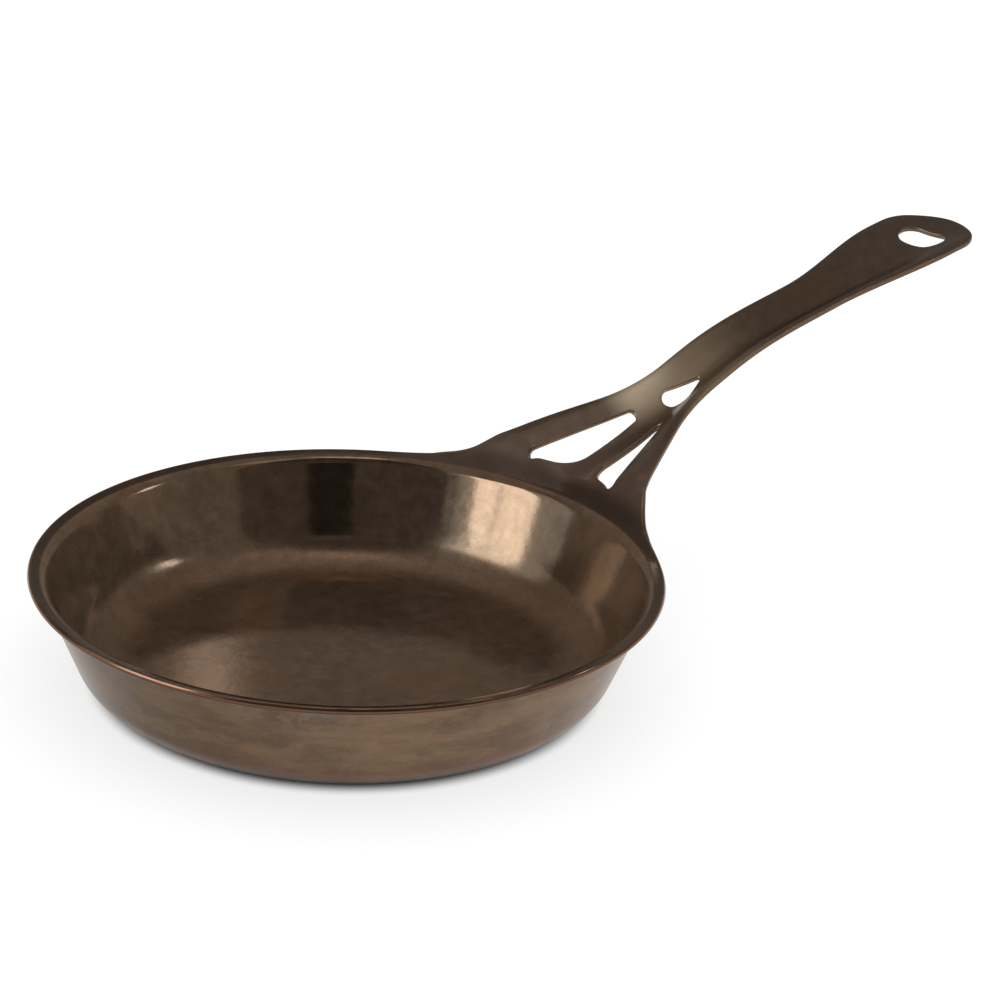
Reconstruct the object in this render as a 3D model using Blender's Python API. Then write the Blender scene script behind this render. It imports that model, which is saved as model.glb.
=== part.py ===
"""Seamless iron frying pan: a spun bowl with a flared lip, and a forked, trough-shaped handle.

Units are metres. The origin is the centre of the flat underside, +Z is up, and the handle runs
along +X. Both pieces are formed from sheet iron of one thickness.
"""
import math

import bmesh
import bpy
import numpy as np

# Sheet iron
SHEET = 0.0026
EDGE_ROUND = 0.0005
FIT_GAP = 0.0003

# Bowl
RIM_RADIUS = 0.130
RIM_HEIGHT = 0.0475
BASE_RADIUS = 0.0952
CORNER_RADIUS = 0.0174
WALL_LEAN = math.radians(22.0)
LIP_SLOPE = math.radians(25.0)
LIP_BEND = 0.0015
BOWL_SEGMENTS = 96
CORNER_STEPS = 7
BEND_STEPS = 4
EDGE_STEPS = 2

# Handle outline, seen from above. A reach is a length outward from the rim circle, and a setback
# is a length back from the handle's tip.
FILLET_RADIUS = 0.072
ARM_ANGLE = math.radians(24.0)
ARM_RADIUS = 0.0837
NECK_REACH = 0.0803
NECK_HALF_WIDTH = 0.0161
SWELL_LENGTH = 0.0767
SWELL_SETBACK = 0.0325
END_HALF_WIDTH = 0.0250
END_ROUND_LENGTH = 0.0220
HANDLE_LENGTH = 0.2753

# Handle height: the valley line as (reach, height above the rim), the trough as (reach, depth)
TIP_RISE = 0.0725
VALLEY = ((0.0, 0.0036), (0.050, 0.0160), (0.100, 0.0366), (0.170, 0.0490), (HANDLE_LENGTH, TIP_RISE))
TROUGH = ((0.0, 0.0090), (0.032, 0.0107), (0.075, 0.0073), (0.244, 0.0048), (HANDLE_LENGTH, 0.0))
TROUGH_SHARE = 0.85
TROUGH_POWER = 1.5
ROOT_RISE = 0.0070
RISE_FULL_AZIMUTH = math.radians(10.5)
RISE_NONE_AZIMUTH = math.radians(41.5)

# Grid of the handle's sheet: its rows follow the rim at the root and the round end at the tip
ROOT_FAN_LENGTH = 0.040
TIP_FAN_LENGTH = 0.016
TIP_FAN_SHARE = 0.86
HANDLE_COLUMNS = 18
FILLET_STEPS = 12
ARM_ROWS = 20
NECK_ROWS = 14
SWELL_ROWS = 14
TIP_ROWS = 9

# Openings in the handle, as corner points (reach, y) with the radius of each corner
VENT_CORNERS = ((-0.0025, 0.0266, 0.0023), (0.0112, 0.0058, 0.0160), (0.0661, 0.0055, 0.0022))
NECK_VENT_CORNERS = ((0.0670, 0.0080, 0.0045), (0.0670, -0.0080, 0.0045), (0.0903, 0.0, 0.0012))
HOLE_SETBACK = 0.0223
HOLE_LENGTH = 0.0140
HOLE_WIDTH = 0.0240
HOLE_CORNER = 0.0065
OPENING_STEPS = 6
CUTTER_FOOT = 0.010

# Edges that turn by more than these angles are broken, and are shaded sharp
BREAK_ANGLE = math.radians(50.0)
SHARP_ANGLE = math.radians(35.0)
SLOPE_STEP = 1e-5


def make_material(name, colour, roughness, metallic):
    """Principled material of one colour."""
    material = bpy.data.materials.new(name)
    material.use_nodes = True
    shader = material.node_tree.nodes["Principled BSDF"]
    shader.inputs["Base Color"].default_value = (*colour, 1.0)
    shader.inputs["Roughness"].default_value = roughness
    shader.inputs["Metallic"].default_value = metallic
    return material


def add_object(name, mesh, material=None):
    """Object with this mesh and material, linked to the scene."""
    item = bpy.data.objects.new(name, mesh)
    bpy.context.scene.collection.objects.link(item)
    if material is not None:
        mesh.materials.append(material)
    return item


def smooth(mesh):
    """Smooth shading with the cut edges of the sheet left sharp."""
    mesh.shade_smooth()
    mesh.set_sharp_from_angle(angle=SHARP_ANGLE)


def smoothstep(value):
    """Ease from 0 to 1 with level ends."""
    value = min(max(value, 0.0), 1.0)
    return value * value * (3.0 - 2.0 * value)


def spline(stations):
    """Natural cubic curve through (x, value) stations, as a function of x, straight beyond them."""
    xs, values = np.array(stations, float).T
    gaps = np.diff(xs)
    slopes = np.diff(values) / gaps
    system = np.eye(len(xs))
    target = np.zeros(len(xs))
    for i in range(1, len(xs) - 1):
        system[i, i - 1:i + 2] = gaps[i - 1], 2.0 * (gaps[i - 1] + gaps[i]), gaps[i]
        target[i] = 6.0 * (slopes[i] - slopes[i - 1])
    bends = np.linalg.solve(system, target)

    def curve(x):
        i = int(np.clip(np.searchsorted(xs, x) - 1, 0, len(gaps) - 1))
        at = float(np.clip(x, xs[0], xs[-1]))
        a = xs[i + 1] - at
        b = at - xs[i]
        gap = gaps[i]
        value = (bends[i] * a ** 3 + bends[i + 1] * b ** 3) / (6.0 * gap)
        value += (values[i] / gap - bends[i] * gap / 6.0) * a
        value += (values[i + 1] / gap - bends[i + 1] * gap / 6.0) * b
        slope = slopes[i] + (bends[i + 1] * b * b - bends[i] * a * a) / (2.0 * gap)
        slope -= gap * (bends[i + 1] - bends[i]) / 6.0
        return value + slope * (x - at)

    return curve


def arc(centre, radius, start, end, steps):
    """Points on a circle from one angle to another, both ends included."""
    angles = [start + (end - start) * i / steps for i in range(steps + 1)]
    return [(centre[0] + radius * math.cos(a), centre[1] + radius * math.sin(a)) for a in angles]


# The lip's cut edge stands square to its slope, so its top corner lies inside the rim radius.
LIP_TOP_RADIUS = RIM_RADIUS - SHEET * math.sin(LIP_SLOPE)


def bowl_profile():
    """Closed outline of the bowl's sheet in (radius, height), from the axis under the floor,
    out along the underside, round the lip's edge and back along the inside to the axis."""
    half = SHEET / 2.0
    wall_angle = math.pi / 2.0 - WALL_LEAN
    corner_centre = (BASE_RADIUS, CORNER_RADIUS)
    corner = CORNER_RADIUS - half
    wall_foot = (corner_centre[0] + corner * math.sin(wall_angle),
                 corner_centre[1] - corner * math.cos(wall_angle))
    lip_end = (RIM_RADIUS - half * math.sin(LIP_SLOPE), RIM_HEIGHT - half * math.cos(LIP_SLOPE))

    # The middle lines of wall and lip meet at the bend's corner point.
    rows = np.array([[math.cos(wall_angle), math.cos(LIP_SLOPE)],
                     [math.sin(wall_angle), math.sin(LIP_SLOPE)]])
    span = np.array(lip_end) - np.array(wall_foot)
    wall_length = np.linalg.solve(rows, span)[0]
    bend_point = (wall_foot[0] + wall_length * math.cos(wall_angle),
                  wall_foot[1] + wall_length * math.sin(wall_angle))
    bend = LIP_BEND + half
    tangent = bend * math.tan((wall_angle - LIP_SLOPE) / 2.0)
    bend_foot = (bend_point[0] - tangent * math.cos(wall_angle),
                 bend_point[1] - tangent * math.sin(wall_angle))
    bend_centre = (bend_foot[0] + bend * math.sin(wall_angle), bend_foot[1] - bend * math.cos(wall_angle))

    def face(side):
        """One face of the sheet, from the axis to the lip: side -1 is the underside, +1 the inside."""
        turn = -math.pi / 2.0
        points = [(0.0, half + side * half)]
        points += arc(corner_centre, corner - side * half, turn, turn + wall_angle, CORNER_STEPS)
        points += arc(bend_centre, bend + side * half, math.pi / 2.0 + wall_angle,
                      math.pi / 2.0 + LIP_SLOPE, BEND_STEPS)
        return points

    def lip_corner(side):
        """Rounded corner of the lip's cut edge, on the underside or the inside face."""
        inset = half - EDGE_ROUND
        centre = (lip_end[0] - EDGE_ROUND * math.cos(LIP_SLOPE) - side * inset * math.sin(LIP_SLOPE),
                  lip_end[1] - EDGE_ROUND * math.sin(LIP_SLOPE) + side * inset * math.cos(LIP_SLOPE))
        outward = LIP_SLOPE
        return arc(centre, EDGE_ROUND, outward + side * math.pi / 2.0, outward, EDGE_STEPS)

    under = face(-1) + lip_corner(-1)
    inside = face(1) + lip_corner(1)
    return under + inside[::-1]


def build_pan_body(material):
    """Spin the bowl's outline round the pan's axis."""
    bm = bmesh.new()
    ring = [bm.verts.new((radius, 0.0, height)) for radius, height in bowl_profile()]
    edges = [bm.edges.new(pair) for pair in zip(ring, ring[1:])]
    bmesh.ops.spin(bm, geom=ring + edges, cent=(0.0, 0.0, 0.0), axis=(0.0, 0.0, 1.0),
                   angle=math.tau, steps=BOWL_SEGMENTS, use_merge=True)
    bmesh.ops.remove_doubles(bm, verts=bm.verts, dist=1e-6)
    bmesh.ops.recalc_face_normals(bm, faces=bm.faces)
    mesh = bpy.data.meshes.new("pan_body")
    bm.to_mesh(mesh)
    bm.free()
    smooth(mesh)
    return add_object("pan_body", mesh, material)


# The handle's sheet starts one fitting gap outside the lip's top corner.
ROOT_RADIUS = LIP_TOP_RADIUS + FIT_GAP / math.cos(LIP_SLOPE)
NECK_X = RIM_RADIUS + NECK_REACH
ARM_END_X = NECK_X - ARM_RADIUS * math.sin(ARM_ANGLE)
ARM_END_HALF_WIDTH = NECK_HALF_WIDTH + ARM_RADIUS * (1.0 - math.cos(ARM_ANGLE))
TIP_X = RIM_RADIUS + HANDLE_LENGTH
SWELL_END_X = TIP_X - SWELL_SETBACK
SWELL_START_X = SWELL_END_X - SWELL_LENGTH
END_ROUND_X = TIP_X - END_ROUND_LENGTH


def fillet_centre():
    """Centre of the round that touches both the lip's circle and the arm's straight edge."""
    reach = (math.sin(ARM_ANGLE) * ARM_END_X + math.cos(ARM_ANGLE) * ARM_END_HALF_WIDTH
             + FILLET_RADIUS)
    distance = LIP_TOP_RADIUS + FILLET_RADIUS
    azimuth = math.pi / 2.0 - ARM_ANGLE - math.acos(reach / distance)
    return distance * math.cos(azimuth), distance * math.sin(azimuth)


FILLET_CENTRE = fillet_centre()
FILLET_END_X = FILLET_CENTRE[0] - FILLET_RADIUS * math.sin(ARM_ANGLE)


def body_half_width(x):
    """Half width of the handle at x, without the round end."""
    if x < FILLET_END_X:
        across = max(FILLET_RADIUS ** 2 - (FILLET_CENTRE[0] - x) ** 2, 0.0)
        return FILLET_CENTRE[1] - math.sqrt(across)
    if x < ARM_END_X:
        return ARM_END_HALF_WIDTH + (ARM_END_X - x) * math.tan(ARM_ANGLE)
    if x < NECK_X:
        return NECK_HALF_WIDTH + ARM_RADIUS - math.sqrt(ARM_RADIUS ** 2 - (NECK_X - x) ** 2)
    share = smoothstep((x - SWELL_START_X) / (SWELL_END_X - SWELL_START_X))
    return NECK_HALF_WIDTH + (END_HALF_WIDTH - NECK_HALF_WIDTH) * share


def tip_x(y):
    """How far the round end reaches at a distance y from the middle."""
    share = min(abs(y) / END_HALF_WIDTH, 1.0)
    return END_ROUND_X + END_ROUND_LENGTH * math.sqrt(1.0 - share ** 2)


def half_width(x):
    """Half width of the handle at x, with the round end."""
    if x <= END_ROUND_X:
        return body_half_width(x)
    share = min((x - END_ROUND_X) / END_ROUND_LENGTH, 1.0)
    return END_HALF_WIDTH * math.sqrt(1.0 - share ** 2)


valley_above_rim = spline(VALLEY)
trough_at_reach = spline(TROUGH)


def valley_height(x):
    """Height of the trough's lowest line at x."""
    return RIM_HEIGHT + valley_above_rim(x - RIM_RADIUS)


def trough_depth(x):
    """Depth of the trough at x, from its edges to its lowest line."""
    return trough_at_reach(x - RIM_RADIUS)


def plate_height(x, y):
    """Top face of the pressed handle: a trough, round in the middle and level at its edges."""
    share = min(abs(y) / (TROUGH_SHARE * body_half_width(x)), 1.0)
    rise = 1.0 - (1.0 - share ** 2) ** TROUGH_POWER
    return valley_height(x) + trough_depth(x) * rise


def top_height(x, y):
    """Top face of the handle. It leaves the lip along the lip's own slope, and its rise from there
    fades out to both sides."""
    beyond = math.hypot(x, y) - LIP_TOP_RADIUS
    lip_line = RIM_HEIGHT + beyond * math.tan(LIP_SLOPE)
    azimuth = abs(math.atan2(y, x))
    aside = (azimuth - RISE_FULL_AZIMUTH) / (RISE_NONE_AZIMUTH - RISE_FULL_AZIMUTH)
    share = smoothstep(beyond / ROOT_RISE) * (1.0 - smoothstep(aside))
    return lip_line + (plate_height(x, y) - lip_line) * share


def sheet_point(x, y, depth):
    """Point at a depth below the handle's top face, measured square to the sheet."""
    span = 2.0 * SLOPE_STEP
    along = (top_height(x + SLOPE_STEP, y) - top_height(x - SLOPE_STEP, y)) / span
    across = (top_height(x, y + SLOPE_STEP) - top_height(x, y - SLOPE_STEP)) / span
    length = math.sqrt(along ** 2 + across ** 2 + 1.0)
    return (x + depth * along / length, y + depth * across / length,
            top_height(x, y) - depth / length)


def root_corner():
    """Point where the handle's edge meets the circle that its sheet starts on."""
    distance = math.hypot(*FILLET_CENTRE)
    reach = (distance ** 2 + ROOT_RADIUS ** 2 - FILLET_RADIUS ** 2) / (2.0 * distance)
    aside = math.sqrt(ROOT_RADIUS ** 2 - reach ** 2)
    along_x = FILLET_CENTRE[0] / distance
    along_y = FILLET_CENTRE[1] / distance
    return reach * along_x + aside * along_y, reach * along_y - aside * along_x


def outline_stations():
    """Points (x, half width) down one side of the handle, from the lip to the round end."""
    start = root_corner()
    first = math.atan2(start[1] - FILLET_CENTRE[1], start[0] - FILLET_CENTRE[0]) % math.tau
    last = 1.5 * math.pi - ARM_ANGLE
    stations = arc(FILLET_CENTRE, FILLET_RADIUS, first, last, FILLET_STEPS)[:-1]
    tip_half = TIP_FAN_SHARE * END_HALF_WIDTH
    tip_start = tip_x(tip_half)
    fan_start = tip_start - TIP_FAN_LENGTH
    for start_x, end_x, count in ((FILLET_END_X, NECK_X, ARM_ROWS), (NECK_X, SWELL_START_X, NECK_ROWS),
                                  (SWELL_START_X, fan_start, SWELL_ROWS),
                                  (fan_start, tip_start, TIP_ROWS)):
        stations += [(x, half_width(x)) for x in np.linspace(start_x, end_x, count, endpoint=False)]
    stations.append((tip_start, tip_half))
    return stations


def handle_rows():
    """Rows of (x, y) points across the handle: curved with the rim at the root, straight along
    the strap, and curved with the round end at the tip."""
    stations = outline_stations()
    root_x, root_half = stations[0]
    tip_start, tip_half = stations[-1]
    rows = []
    for x, half in stations:
        root_share = max(1.0 - (x - root_x) / ROOT_FAN_LENGTH, 0.0)
        tip_share = max(1.0 - (tip_start - x) / TIP_FAN_LENGTH, 0.0)
        row = []
        for column in range(HANDLE_COLUMNS + 1):
            u = 2.0 * column / HANDLE_COLUMNS - 1.0
            root_bulge = math.sqrt(root_x ** 2 + root_half ** 2 * (1.0 - u ** 2)) - root_x
            tip_bulge = tip_x(u * tip_half) - tip_start
            row.append((x + root_share * root_bulge + tip_share * tip_bulge, u * half))
        rows.append(row)
    return rows


def handle_mesh():
    """Closed sheet between the handle's top face and its underside."""
    rows = handle_rows()
    bm = bmesh.new()
    top = [[bm.verts.new(sheet_point(x, y, 0.0)) for x, y in row] for row in rows]
    under = [[bm.verts.new(sheet_point(x, y, SHEET)) for x, y in row] for row in rows]
    for i in range(len(rows) - 1):
        for j in range(HANDLE_COLUMNS):
            bm.faces.new((top[i][j], top[i + 1][j], top[i + 1][j + 1], top[i][j + 1]))
            bm.faces.new((under[i][j], under[i][j + 1], under[i + 1][j + 1], under[i + 1][j]))
    rim_top = (top[0] + [row[-1] for row in top[1:]] + top[-1][-2::-1]
               + [row[0] for row in top[-2:0:-1]])
    rim_under = (under[0] + [row[-1] for row in under[1:]] + under[-1][-2::-1]
                 + [row[0] for row in under[-2:0:-1]])
    for i in range(len(rim_top)):
        k = (i + 1) % len(rim_top)
        bm.faces.new((rim_top[i], rim_top[k], rim_under[k], rim_under[i]))
    bmesh.ops.recalc_face_normals(bm, faces=bm.faces)
    mesh = bpy.data.meshes.new("handle")
    bm.to_mesh(mesh)
    bm.free()
    return mesh


def rounded_outline(corners):
    """Closed outline whose corners (x, y, radius) are rounded."""
    points = []
    count = len(corners)
    for i in range(count):
        here = np.array(corners[i][:2])
        before = np.array(corners[i - 1][:2]) - here
        after = np.array(corners[(i + 1) % count][:2]) - here
        before /= np.linalg.norm(before)
        after /= np.linalg.norm(after)
        half_angle = math.acos(float(np.clip(before @ after, -1.0, 1.0))) / 2.0
        radius = corners[i][2]
        middle = (before + after) / np.linalg.norm(before + after)
        centre = here + middle * radius / math.sin(half_angle)
        first = here + before * radius / math.tan(half_angle) - centre
        last = here + after * radius / math.tan(half_angle) - centre
        start = math.atan2(first[1], first[0])
        turn = (math.atan2(last[1], last[0]) - start + math.pi) % math.tau - math.pi
        points += arc(centre, radius, start, start + turn, OPENING_STEPS)
    return points


def add_cutter(name, outline):
    """Upright prism through the sheet, which cuts one opening."""
    xs = [x for x, y in outline]
    low = min(valley_height(x) for x in xs) - CUTTER_FOOT
    high = max(valley_height(x) + trough_depth(x) for x in xs) + CUTTER_FOOT
    bm = bmesh.new()
    face = bm.faces.new([bm.verts.new((x, y, low)) for x, y in outline])
    raised = bmesh.ops.extrude_face_region(bm, geom=[face])["geom"]
    for vert in (item for item in raised if isinstance(item, bmesh.types.BMVert)):
        vert.co.z = high
    bmesh.ops.recalc_face_normals(bm, faces=bm.faces)
    mesh = bpy.data.meshes.new(name)
    bm.to_mesh(mesh)
    bm.free()
    cutter = add_object(name, mesh)
    cutter.hide_render = True
    cutter.display_type = "WIRE"
    return cutter


def hole_corners():
    """Corners of the hanging hole, a broad oval that lies across the handle."""
    reach = HOLE_LENGTH / 2.0
    side = HOLE_WIDTH / 2.0
    signs = ((-1, -1), (1, -1), (1, 1), (-1, 1))
    middle = HANDLE_LENGTH - HOLE_SETBACK
    return [(middle + a * reach, b * side, HOLE_CORNER) for a, b in signs]


def build_handle(material):
    """Press the handle's sheet, cut its openings and break its cut edges."""
    handle = add_object("handle", handle_mesh(), material)
    mirrored = [(reach, -y, radius) for reach, y, radius in VENT_CORNERS]
    openings = {"left_vent_cutter": VENT_CORNERS, "right_vent_cutter": mirrored,
                "neck_vent_cutter": NECK_VENT_CORNERS, "hanging_hole_cutter": hole_corners()}
    for name, corners in openings.items():
        placed = [(RIM_RADIUS + reach, y, radius) for reach, y, radius in corners]
        cut = handle.modifiers.new(name, "BOOLEAN")
        cut.operation = "DIFFERENCE"
        cut.solver = "EXACT"
        cut.object = add_cutter(name, rounded_outline(placed))
    soften = handle.modifiers.new("edge_round", "BEVEL")
    soften.width = EDGE_ROUND
    soften.segments = 1
    soften.limit_method = "ANGLE"
    soften.angle_limit = BREAK_ANGLE
    smooth(handle.data)
    return handle


def main():
    for item in list(bpy.data.objects):
        bpy.data.objects.remove(item)
    bowl_iron = make_material("bowl_iron", (0.145, 0.085, 0.050), 0.34, 1.0)
    handle_iron = make_material("handle_iron", (0.125, 0.085, 0.058), 0.42, 1.0)
    build_pan_body(bowl_iron)
    build_handle(handle_iron)


main()
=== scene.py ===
import math

import bmesh
import bpy
import numpy as np
from mathutils import Matrix, Vector
from mathutils.geometry import delaunay_2d_cdt
from mathutils.kdtree import KDTree


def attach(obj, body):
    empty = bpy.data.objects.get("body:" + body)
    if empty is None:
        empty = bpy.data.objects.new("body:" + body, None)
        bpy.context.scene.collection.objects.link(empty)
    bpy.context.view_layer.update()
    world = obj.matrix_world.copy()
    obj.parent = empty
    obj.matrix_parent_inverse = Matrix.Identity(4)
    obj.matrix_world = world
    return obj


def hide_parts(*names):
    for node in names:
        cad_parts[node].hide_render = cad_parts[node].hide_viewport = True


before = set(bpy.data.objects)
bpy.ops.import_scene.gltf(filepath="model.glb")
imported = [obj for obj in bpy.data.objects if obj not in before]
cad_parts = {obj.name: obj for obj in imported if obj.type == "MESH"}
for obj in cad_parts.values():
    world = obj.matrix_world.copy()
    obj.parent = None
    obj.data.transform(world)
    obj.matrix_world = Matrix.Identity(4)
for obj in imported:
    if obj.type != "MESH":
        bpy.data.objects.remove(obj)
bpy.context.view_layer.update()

# Sheet iron, in metres. The bowl and the handle are one pressed sheet, so one skin stands for both.
# Rings of points follow each cut edge at the distances EDGE_RINGS.
SHEET = 0.0026
EDGE_ROUND = 0.0008
EDGE_RINGS = (0.0, 0.00012, 0.0003, 0.00055, 0.0008, 0.0014)

# Bowl. The flat part ends at BASE_RADIUS on the underside and at FLOOR_RADIUS inside, and the
# inside corner has the radius that keeps the wall one sheet thick.
RIM_RADIUS = 0.130
RIM_HEIGHT = 0.0475
BASE_RADIUS = 0.0945
CORNER_RADIUS = 0.0185
FLOOR_RADIUS = 0.0908
WALL_LEAN = math.radians(22.0)
ROUND_PER_STEP = math.cos(WALL_LEAN) / (1.0 - math.sin(WALL_LEAN))
INSIDE_CORNER_RADIUS = CORNER_RADIUS + (BASE_RADIUS - FLOOR_RADIUS) * ROUND_PER_STEP
LIP_SLOPE = math.radians(16.0)
LIP_BEND = 0.0035
LIP_TOP_RADIUS = RIM_RADIUS - SHEET * math.sin(LIP_SLOPE)
FLOOR_RINGS = 14
CORNER_STEPS = 16
WALL_RINGS = 12
BEND_STEPS = 10
BOWL_SEGMENTS = 288

# Handle outline, seen from above. Reaches are lengths outward from the rim circle.
FILLET_RADIUS = 0.072
ARM_ANGLE = math.radians(24.0)
ARM_RADIUS = 0.0837
NECK_X = RIM_RADIUS + 0.0803
NECK_HALF_WIDTH = 0.0161
SWELL_LENGTH = 0.0767
SWELL_SETBACK = 0.0325
END_HALF_WIDTH = 0.0250
END_ROUND_LENGTH = 0.0220
HANDLE_LENGTH = 0.2753
TIP_X = RIM_RADIUS + HANDLE_LENGTH
SWELL_END_X = TIP_X - SWELL_SETBACK
SWELL_START_X = SWELL_END_X - SWELL_LENGTH
END_ROUND_X = TIP_X - END_ROUND_LENGTH

# Handle height: the valley line as (reach, height above the rim), the trough as (reach, depth)
TIP_RISE = 0.0725
VALLEY = ((0.0, 0.0036), (0.050, 0.0160), (0.100, 0.0366), (0.170, 0.0490), (HANDLE_LENGTH, TIP_RISE))
TROUGH = ((0.0, 0.0090), (0.032, 0.0107), (0.075, 0.0073), (0.244, 0.0048), (HANDLE_LENGTH, 0.0))
TROUGH_SHARE = 0.85
TROUGH_POWER = 1.5

# Root: the sheet rises from the lip into the plate over ROOT_RISE, and more gently, over up to
# GENTLE_RISE, at both sides. Azimuths are angles about the bowl's axis from the handle's middle.
SPREAD_SLOPE = math.radians(27.0)
ROOT_RISE = 0.0065
GENTLE_RISE = 0.0150
GENTLE_MIDDLE_SHARE = 0.40
GENTLE_AZIMUTHS = tuple(math.radians(angle) for angle in (7.0, 13.5, 21.0, 29.0))
RISE_FULL_AZIMUTH = math.radians(10.5)
RISE_NONE_AZIMUTH = math.radians(41.5)

# Openings in the handle, as corner points (reach, y) with the radius of each corner
VENT_CORNERS = ((-0.0005, 0.0261, 0.0018), (0.0112, 0.0058, 0.0160), (0.0661, 0.0055, 0.0022))
NECK_VENT_CORNERS = ((0.0670, 0.0080, 0.0045), (0.0670, -0.0080, 0.0045), (0.0903, 0.0, 0.0012))
HOLE_SETBACK = 0.0223
HOLE_LENGTH = 0.0140
HOLE_WIDTH = 0.0240
HOLE_CORNER = 0.0065

# Mesh density of the handle's skin. The root is meshed with the lip over a sector of the bowl.
SECTOR_STEPS = 32
SECTOR_ANGLE = math.tau * SECTOR_STEPS / BOWL_SEGMENTS
LIP_SAMPLES = 24
ROUND_SAMPLES = 60
SIDE_SAMPLES = 400
CORNER_SAMPLES = 16
OUTLINE_STEP = 0.0011
ROOT_GRID_STEP = 0.0010
ROOT_GRID_END = 0.138
STRAP_GRID_STEP = 0.0016
STRAP_GRID_HALF_COUNT = 40
ROW_SHARE = 0.87
GRID_CLEARANCE = 0.0008
SLOPE_STEP = 1e-5
MERGE_DISTANCE = 2e-5
SAME_POINT = 1e-9
SLIVER_AREA = 1e-11

# Camera, measured in the photograph's own directions: right, away and up from the bowl's middle
HANDLE_AZIMUTH = math.radians(47.0)
CAMERA_PITCH = 0.39331
CAMERA_ROLL = 0.05091
CAMERA_DISTANCE = 1.1639
CAMERA_ASIDE = -0.0641
CAMERA_UPWARD = -0.0704
SENSOR_WIDTH = 36.0
FOCAL_LENGTH = 2.8 * SENSOR_WIDTH
VIEW_DEPTH = 50.0

# Iron finish: the streaks lie along the wall, the grain is this high, and the bowl's dull sides
# and the side of its outside wall darkened by painted shade lie along this direction
STREAK_SQUEEZE = (1.0, 1.0, 3.2)
GRAIN_HEIGHT = 0.00003
DULL_AND_PAINTED_SHADE_SIDE = (0.68, -0.73)

# Studio. The cards are what the polished iron reflects: name, azimuths from away toward the right
# and elevations in degrees, distance, brightness and tint, as seen from the middle of the bowl.
STUDIO_FLOOR_RADIUS = 4.0
FLOOR_DROP = 0.0003
FLOOR_GREY = 0.36
FLOOR_LIFT = 0.72
# The painted contact shadow under the pan fades out between these distances past the base
SHADOW_EDGE = (0.004, 0.0145)
CARD_STEP = 4.0
WHITE = (1.0, 1.0, 1.0)
DAYLIGHT = (1.0, 1.13, 1.22)
LAMPLIGHT = (1.0, 0.89, 0.79)
CARDS = (
    ("back_panel", (-84.0, 74.0), (1.0, 52.0), 2.0, 0.28, LAMPLIGHT),
    ("right_panel", (74.0, 128.0), (1.0, 60.0), 2.0, 0.42, WHITE),
    ("front_panel", (128.0, 222.0), (1.0, 50.0), 2.0, 0.20, WHITE),
    ("front_ceiling", (128.0, 222.0), (50.0, 88.0), 2.0, 0.12, WHITE),
    ("top_panel", (-138.0, 95.0), (52.0, 88.0), 2.0, 0.50, WHITE),
    ("front_door", (158.0, 178.0), (17.0, 38.0), 1.9, 0.03, WHITE),
    ("rim_light", (-9.2, -7.4), (24.0, 28.5), 1.9, 1.5, LAMPLIGHT),
    ("ceiling_lamp", (-180.0, 180.0), (83.0, 89.0), 1.9, 2.5, LAMPLIGHT),
    ("window_near", (-130.0, -119.5), (5.0, 37.0), 1.9, 5.2, DAYLIGHT),
    ("window_far", (-118.5, -101.5), (5.0, 37.0), 1.9, 5.2, DAYLIGHT),
    ("window_frame", (-142.0, -84.0), (1.0, 38.5), 2.0, 1.1, DAYLIGHT),
    ("window_wall", (-142.0, -84.0), (38.5, 52.0), 2.0, 0.50, WHITE),
    ("side_light", (80.0, 88.0), (22.0, 34.0), 1.9, 5.0, DAYLIGHT),
)


def smoothstep(value):
    """Ease from 0 to 1 with level ends."""
    value = np.clip(value, 0.0, 1.0)
    return value * value * (3.0 - 2.0 * value)


def spline(stations):
    """Natural cubic curve through (x, value) stations, straight beyond its ends."""
    xs, values = np.array(stations, float).T
    gaps = np.diff(xs)
    slopes = np.diff(values) / gaps
    system = np.eye(len(xs))
    target = np.zeros(len(xs))
    for i in range(1, len(xs) - 1):
        system[i, i - 1:i + 2] = gaps[i - 1], 2.0 * (gaps[i - 1] + gaps[i]), gaps[i]
        target[i] = 6.0 * (slopes[i] - slopes[i - 1])
    bends = np.linalg.solve(system, target)

    def curve(x):
        i = np.clip(np.searchsorted(xs, x) - 1, 0, len(gaps) - 1)
        at = np.clip(x, xs[0], xs[-1])
        a = xs[i + 1] - at
        b = at - xs[i]
        gap = gaps[i]
        value = (bends[i] * a ** 3 + bends[i + 1] * b ** 3) / (6.0 * gap)
        value += (values[i] / gap - bends[i] * gap / 6.0) * a
        value += (values[i + 1] / gap - bends[i + 1] * gap / 6.0) * b
        slope = slopes[i] + (bends[i + 1] * b * b - bends[i] * a * a) / (2.0 * gap)
        slope -= gap * (bends[i + 1] - bends[i]) / 6.0
        return value + slope * (x - at)

    return curve


def arc(centre, radius, start, end, steps):
    """Points on a circle from one angle to another, both ends included."""
    angles = np.linspace(start, end, steps + 1)
    return np.stack([centre[0] + radius * np.cos(angles), centre[1] + radius * np.sin(angles)], axis=1)


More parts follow.
